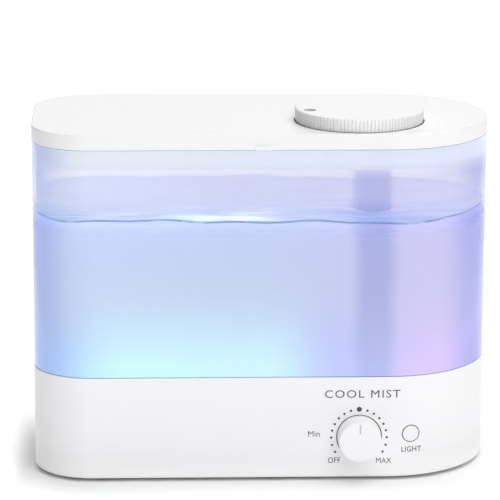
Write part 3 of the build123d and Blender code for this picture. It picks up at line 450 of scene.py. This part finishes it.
# ------------------------------------------------------------------------ water
def build_water():
    gap = WALL + 0.0002
    insets = [0, 0.0003, 0.0007, 0.0012, 0.002, 0.003, 0.0045, 0.0065, 0.009, 0.012, 0.0155, 0.0195, 0.024, 0.029, 0.034, 0.039, 0.044, 0.049, 0.0535, 0.0573]
    verts, faces, mat_i = [], [], []
    rings = []
    # side, from the floor up
    n = len(d_ring(gap))
    side = [0.0, 0.25, 0.5, 0.75, 0.93, 1.0]
    outline = d_ring(gap)
    for k, t in enumerate(side):
        ids = []
        for (x, y) in outline:
            top = surface_z(x, y) + 0.0011
            if t == 1.0:
                z = top
            elif t == 0.93:
                z = top - 0.0011
            else:
                z = FLOOR_TOP + 0.0002 + (top - 0.0011 - FLOOR_TOP - 0.0002) * t / 0.93
            ids.append(len(verts))
            verts.append((x, y, z))
        rings.append(ids)
    for k in range(1, len(insets)):
        ids = []
        for (x, y) in d_ring(gap + min(insets[k], 0.0573)):
            lip = 0.0011 * math.exp(-insets[k] / 0.0007)
            ids.append(len(verts))
            verts.append((x, y, surface_z(x, y) + lip))
        rings.append(ids)
    for k in range(len(rings) - 1):
        a, b = rings[k], rings[k + 1]
        for i in range(n):
            j = (i + 1) % n
            faces.append((a[i], b[i], b[j], a[j]))
            mat_i.append(1 if k == 4 else (2 if k > 4 else 0))
    # floor of the water
    low = [rings[0]]
    for ins in (0.006, 0.02, 0.036, 0.05, 0.0573):
        ids = []
        for (x, y) in d_ring(gap + ins):
            ids.append(len(verts))
            verts.append((x, y, FLOOR_TOP + 0.0002))
        low.append(ids)
    for k in range(len(low) - 1):
        a, b = low[k], low[k + 1]
        for i in range(n):
            j = (i + 1) % n
            faces.append((a[j], b[j], b[i], a[i]))
            mat_i.append(0)
    o = link("tank_water", verts, faces)
    bm = bmesh.new()
    bm.from_mesh(o.data)
    for f, mi in zip(bm.faces, mat_i):
        f.material_index = mi
    bmesh.ops.remove_doubles(bm, verts=bm.verts, dist=0.00012)
    # close the two slots left along the middle line
    edges = [e for e in bm.edges if e.is_boundary]
    if edges:
        r = bmesh.ops.holes_fill(bm, edges=edges, sides=0)
        for f in r["faces"]:
            f.material_index = 2 if f.calc_center_median().z > 0.1 else 0
    bmesh.ops.recalc_face_normals(bm, faces=bm.faces)
    bm.to_mesh(o.data)
    bm.free()
    return o


def tube_mesh(name, cx, cy, r, z0, z1, seg=64):
    verts, faces = [], []
    for z in (z0, z1):
        for i in range(seg):
            a = 2 * math.pi * i / seg
            verts.append((cx + r * math.cos(a), cy + r * math.sin(a), z))
    for i in range(seg):
        j = (i + 1) % seg
        faces.append((i, j, seg + j, seg + i))
    faces.append(tuple(range(seg - 1, -1, -1)))
    faces.append(tuple(range(seg, 2 * seg)))
    return link(name, verts, faces)


water = build_water()

m = Mat("water_body")
# painted light: the water is given the lamps' painted glow as its colour and glows with it
g = glow_colour(m)
m.to(g, "Base Color")
m.to(g, "Emission Color")
m.set(Emission_Strength=0.30, Specular_IOR_Level=0.3, IOR=1.33)
m.to(m.rng(m.noise(30.0, 2.0), 0.3, 0.7, 0.10, 0.2), "Roughness")
fade = m.rng(m.xyz()["Z"], 0.072, 0.152, 0.93, 0.80)
m.to(fade, "Alpha")
m.bump(m.noise(26.0, 2.0), 0.15, 0.0006)
WATER_BODY = m.m

m = Mat("water_line")
# painted light and shade: the water line is a dark blue band with bright cyan glints, painted from noise, and glows
# faintly
v = m.mapping((70.0, 70.0, 260.0))
nz = m.noise(1.0, 3.0, 0.6, vec=v)
c = m.ramp(nz, [(0.30, srgb(34, 96, 170)), (0.44, srgb(52, 128, 206)), (0.54, srgb(96, 176, 232)), (0.66, srgb(206, 246, 255))], "LINEAR")
pxl = m.rng(m.xyz()["X"], -0.14, 0.14, 0.0, 1.0)
c = m.mix(0.35, c, m.ramp(pxl, [(0.0, srgb(130, 160, 215)), (0.4, srgb(90, 160, 225)), (1.0, srgb(135, 145, 215))]))
m.to(c, "Base Color")
m.to(c, "Emission Color")
m.set(Emission_Strength=0.05, Specular_IOR_Level=0.5)
m.to(m.rng(nz, 0.3, 0.7, 0.06, 0.12), "Roughness")
WATER_LINE = m.m

m = Mat("water_top")
# painted reflections and highlights: bright ripple glints, a bright patch left of centre and a glowing streak near the
# front wall are painted into the surface's colour and emission; 20 to 52 mm back from the front wall this gives way to
# a plain colour without glints
v = m.mapping((14.0, 80.0, 1.0))
nz = m.noise(1.0, 4.0, 0.55, vec=v, distortion=0.5)
c = m.ramp(nz, [(0.34, srgb(96, 156, 222)), (0.43, srgb(160, 196, 240)), (0.52, srgb(206, 226, 250)), (0.62, srgb(244, 254, 255))], "EASE")
pxl = m.rng(m.xyz()["X"], -0.14, 0.14, 0.0, 1.0)
c = m.mix(0.50, c, m.ramp(pxl, [(0.0, srgb(140, 170, 225)), (0.38, srgb(240, 252, 255)), (0.70, srgb(150, 170, 230)), (1.0, srgb(170, 185, 240))]))
streak = m.math("MULTIPLY", m.rng(m.math("ABSOLUTE", m.math("ADD", m.xyz()["X"], 0.024)), 0.010, 0.042, 1.0, 0.0, smooth=True), m.rng(m.math("ABSOLUTE", m.math("SUBTRACT", m.xyz()["Y"], FRONT_Y + 0.014)), 0.003, 0.020, 1.0, 0.0, smooth=True))
near = m.rng(m.xyz()["Y"], FRONT_Y + 0.020, FRONT_Y + 0.052, 0.0, 1.0, smooth=True)
far_without_glints = m.ramp(pxl, [(0.0, srgb(205, 218, 240)), (0.5, srgb(216, 221, 243)), (1.0, srgb(210, 213, 242))])
c = m.mix(near, c, far_without_glints)
m.to(c, "Base Color")
m.to(c, "Emission Color")
# painted light: the whole surface glows, more along the highlight streak
m.to(m.math("ADD", m.math("MULTIPLY", m.math("MULTIPLY", streak, m.rng(nz, 0.40, 0.62, 0.0, 1.0)), 0.62), 0.38), "Emission Strength")
m.set(Specular_IOR_Level=0.3, IOR=1.33)
m.to(m.rng(nz, 0.3, 0.7, 0.10, 0.18), "Roughness")
m.bump(nz, 0.25, 0.0006)
WATER_TOP = m.m
for mt in (WATER_BODY, WATER_LINE, WATER_TOP):
    water.data.materials.append(mt)

# leave room for the mist chimney and its collar
cutter = tube_mesh("cutter", CHIM[0], CHIM[1], 0.0127, 0.060, 0.170)
collar = tube_mesh("collar", CHIM[0], CHIM[1], 0.0162, 0.060, 0.0716)
for c_obj in (cutter, collar):
    mod = water.modifiers.new("cut", "BOOLEAN")
    mod.operation = "DIFFERENCE"
    mod.solver = "EXACT"
    mod.object = c_obj
bpy.context.view_layer.update()
dg = bpy.context.evaluated_depsgraph_get()
cut = bpy.data.meshes.new_from_object(water.evaluated_get(dg))
water.modifiers.clear()
water.data = cut
for c_obj in (cutter, collar):
    bpy.data.objects.remove(c_obj)
for p in water.data.polygons:
    p.use_smooth = True
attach(water, "tank")


# ------------------------------------------------------------------ printed marks
INK_T = 0.00003


def wrap(x):
    """y of the base's outer face at x, on the dial side."""
    if x <= END_X:
        return FRONT_Y
    return MID_Y - math.sqrt(max(HALF_Y ** 2 - (x - END_X) ** 2, 0.0))


m = Mat("printed_ink")
m.to(m.mix(m.noise(700.0, 4.0, 0.7), srgb(58, 58, 64), srgb(76, 76, 82)), "Base Color")
m.to(m.rng(m.noise(500.0, 3.0), 0.3, 0.7, 0.45, 0.6), "Roughness")
m.bump(m.noise(1500.0, 2.0), 0.2, 0.000005)
INK = m.m


def print_mesh(name, shapes):
    """Flat ink shapes, each a closed loop list of (x, z) polygons triangulated, laid on the wall."""
    bm = bmesh.new()
    for tri_verts, tri_faces in shapes:
        for side in (0, 1):
            vs = []
            for (x, z) in tri_verts:
                y = wrap(x) - 0.00001 - (INK_T if side == 0 else 0.0)
                vs.append(bm.verts.new((x, y, z)))
            for f in tri_faces:
                idx = f if side == 0 else tuple(reversed(f))
                bm.faces.new([vs[i] for i in idx])
            if side == 0:
                outer = vs
            else:
                inner = vs
        # rim between the two layers
        count = {}
        for f in tri_faces:
            for i in range(len(f)):
                a, b = f[i], f[(i + 1) % len(f)]
                count[(a, b)] = count.get((a, b), 0) + 1
        for (a, b) in count:
            if (b, a) not in count:
                bm.faces.new([outer[b], outer[a], inner[a], inner[b]])
    bmesh.ops.recalc_face_normals(bm, faces=bm.faces)
    me = bpy.data.meshes.new(name)
    bm.to_mesh(me)
    bm.free()
    o = bpy.data.objects.new(name, me)
    bpy.context.scene.collection.objects.link(o)
    me.materials.append(INK)
    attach(o, "base")
    return o


def text_shape(text, x0, x1, z0, z1, thin=0.0, spacing=1.0, level=0.0):
    """Triangles of a word in Blender's own font, fitted to a box on the wall."""
    cu = bpy.data.curves.new("word", "FONT")
    cu.body = text
    cu.offset = thin
    cu.space_character = spacing
    cu.resolution_u = 4
    o = bpy.data.objects.new("word", cu)
    bpy.context.scene.collection.objects.link(o)
    bpy.context.view_layer.update()
    me = bpy.data.meshes.new_from_object(o.evaluated_get(bpy.context.evaluated_depsgraph_get()))
    bpy.data.objects.remove(o)
    bm = bmesh.new()
    bm.from_mesh(me)
    bmesh.ops.remove_doubles(bm, verts=bm.verts, dist=1e-5)
    bmesh.ops.triangulate(bm, faces=bm.faces)
    for v_ in bm.verts:
        v_.index = -1
    bm.verts.index_update()
    xs = [v_.co.x for v_ in bm.verts]
    ys = [v_.co.y for v_ in bm.verts]
    ax, bx, ay, by = min(xs), max(xs), min(ys), max(ys)
    verts = [(x0 + (v_.co.x - ax) / (bx - ax) * (x1 - x0), z0 + (v_.co.y - ay) / (by - ay) * (z1 - z0)) for v_ in bm.verts]
    # on the round end a word drops a little to the right, so that it reads level from above
    verts = [(x, z - level * (wrap(x) - FRONT_Y) * 0.25) for (x, z) in verts]
    faces = [tuple(v_.index for v_ in f.verts) for f in bm.faces]
    bm.free()
    bpy.data.meshes.remove(me)
    return verts, faces


def dot_shape(x, z, r, seg=28):
    verts = [(x, z)] + [(x + r * math.cos(2 * math.pi * i / seg), z + r * math.sin(2 * math.pi * i / seg)) for i in range(seg)]
    faces = [(0, 1 + i, 1 + (i + 1) % seg) for i in range(seg)]
    return verts, faces


dots = []
for i in range(-8, 9):
    a = math.radians(15.0 * i + (0 if i == 0 else math.copysign(2.3 * math.cos(math.radians(15.0 * i)), i)))
    big = i == 0
    dots.append(dot_shape(KNOB[0] - 0.0001 + 0.0161 * math.sin(a), KNOB[1] - 0.0004 + 0.0168 * math.cos(a) + (0.0002 if big else 0.0), 0.00150 if big else 0.00070))
print_mesh("dial_dots", dots)
print_mesh("dial_words", [
    text_shape("Min", 0.0262, 0.0330, 0.0269, 0.0302, thin=0.0),
    text_shape("OFF", 0.0379, 0.0450, 0.0108, 0.0142, thin=0.006, spacing=1.05),
    text_shape("MAX", 0.0658, 0.0746, 0.0106, 0.0138, thin=0.0, spacing=1.02),
    text_shape("LIGHT", 0.0805, 0.0921, 0.0171, 0.0204, thin=0.006, spacing=1.05, level=0.5),
])
print_mesh("front_words", [text_shape("COOL MIST", 0.0358, 0.0794, 0.0501, 0.0547, thin=0.000, spacing=1.18)])


# ------------------------------------------------------------------------- stage
def stage_floor():
    bpy.ops.mesh.primitive_plane_add(size=1.0, location=(0, 1.5, 0))
    o = bpy.context.object
    o.name = "stage_floor"
    o.scale = (14, 14, 1)
    bpy.context.view_layer.update()
    o.data.transform(o.matrix_world)
    o.matrix_world = Matrix.Identity(4)
    mt = Mat("floor_white")
    mt.to(mt.mix(mt.noise(3.0, 2.0), (0.945, 0.945, 0.945, 1), (0.955, 0.955, 0.955, 1)), "Base Color")
    mt.set(Roughness=0.9, Specular_IOR_Level=0.1, Emission_Color=(1, 1, 1, 1))
    xyz = mt.xyz()
    # painted light: the floor glows more the further it is from the humidifier's outline, up to 48 mm out, which keeps
    # the shadow round the base tight, and within 20 mm left of the left end, which narrows the shadow there
    dx = mt.math("MAXIMUM", mt.math("SUBTRACT", mt.math("ABSOLUTE", xyz["X"]), HALF_X - 0.045), 0.0)
    dy = mt.math("MAXIMUM", mt.math("SUBTRACT", mt.math("ABSOLUTE", mt.math("SUBTRACT", xyz["Y"], MID_Y)), HALF_Y - 0.045), 0.0)
    d = mt.math("SUBTRACT", mt.math("SQRT", mt.math("ADD", mt.math("MULTIPLY", dx, dx), mt.math("MULTIPLY", dy, dy))), 0.045)
    side = mt.math("SUBTRACT", mt.math("MULTIPLY", xyz["X"], -1.0), HALF_X)
    wide = mt.rng(d, 0.002, 0.048, 0.0, 0.32, smooth=True)
    left = mt.rng(side, 0.002, 0.020, 0.0, 0.40, smooth=True)
    mt.to(mt.math("MAXIMUM", wide, left), "Emission Strength")
    o.data.materials.append(mt.m)
    return o


stage_floor()

world = bpy.data.worlds.new("studio")
bpy.context.scene.world = world
world.use_nodes = True
wn, wl = world.node_tree.nodes, world.node_tree.links
bg = wn["Background"]
tc = wn.new("ShaderNodeTexCoord")
sep = wn.new("ShaderNodeSeparateXYZ")
wl.new(tc.outputs["Generated"], sep.inputs[0])


def sky_range(a, b, c, d):
    r = wn.new("ShaderNodeMapRange")
    r.interpolation_type = "SMOOTHSTEP"
    for k, v in zip(("From Min", "From Max", "To Min", "To Max"), (a, b, c, d)):
        r.inputs[k].default_value = v
    wl.new(sep.outputs["X"], r.inputs["Value"])
    return r.outputs["Result"]


# a black flag on the far left and a grey one on the far right shape the round ends
mul = wn.new("ShaderNodeMath")
mul.operation = "MULTIPLY"
wl.new(sky_range(-0.64, -0.16, 0.0, 1.06), mul.inputs[0])
wl.new(sky_range(0.55, 0.78, 1.0, 0.0), mul.inputs[1])
wl.new(mul.outputs[0], bg.inputs["Strength"])
bg.inputs["Color"].default_value = (1.0, 1.0, 1.0, 1.0)


def area(name, loc, target, size, energy):
    li = bpy.data.lights.new(name, "AREA")
    li.shape = "DISK"
    li.size = size
    li.energy = energy
    o = bpy.data.objects.new(name, li)
    bpy.context.scene.collection.objects.link(o)
    o.location = loc
    d = Vector(target) - Vector(loc)
    o.rotation_euler = d.to_track_quat("-Z", "Y").to_euler()
    return o


area("top_soft", (0.25, -0.1, 1.6), (0, 0, 0.1), 1.6, 8.8)
area("key_soft", (0.9, -1.3, 1.1), (0, 0, 0.1), 0.8, 4.0)

# ------------------------------------------------------------------------ camera
pitch, yaw, roll = 0.24575, -0.03307, -0.00325
fw = Vector((-math.sin(yaw) * math.cos(pitch), math.cos(yaw) * math.cos(pitch), -math.sin(pitch)))
R = Vector((math.cos(yaw), math.sin(yaw), 0))
U = Vector((-math.sin(yaw) * math.sin(pitch), math.cos(yaw) * math.sin(pitch), math.cos(pitch)))
cr = R * math.cos(roll) - U * math.sin(roll)
cu = R * math.sin(roll) + U * math.cos(roll)
cam = bpy.data.cameras.new("camera")
cam.lens = 228.22
cam.sensor_width = 36.0
cam.clip_start = 0.05
cam.clip_end = 50.0
co = bpy.data.objects.new("camera", cam)
bpy.context.scene.collection.objects.link(co)
mw = Matrix.Identity(4)
for i in range(3):
    mw[i][0], mw[i][1], mw[i][2] = cr[i], cu[i], -fw[i]
mw[0][3], mw[1][3], mw[2][3] = -0.0656, -1.8045, 0.5774
co.matrix_world = mw
bpy.context.scene.camera = co

vs = bpy.context.scene.view_settings
vs.view_transform = "Standard"
vs.look = "None"
vs.exposure = 0.0
vs.gamma = 1.0
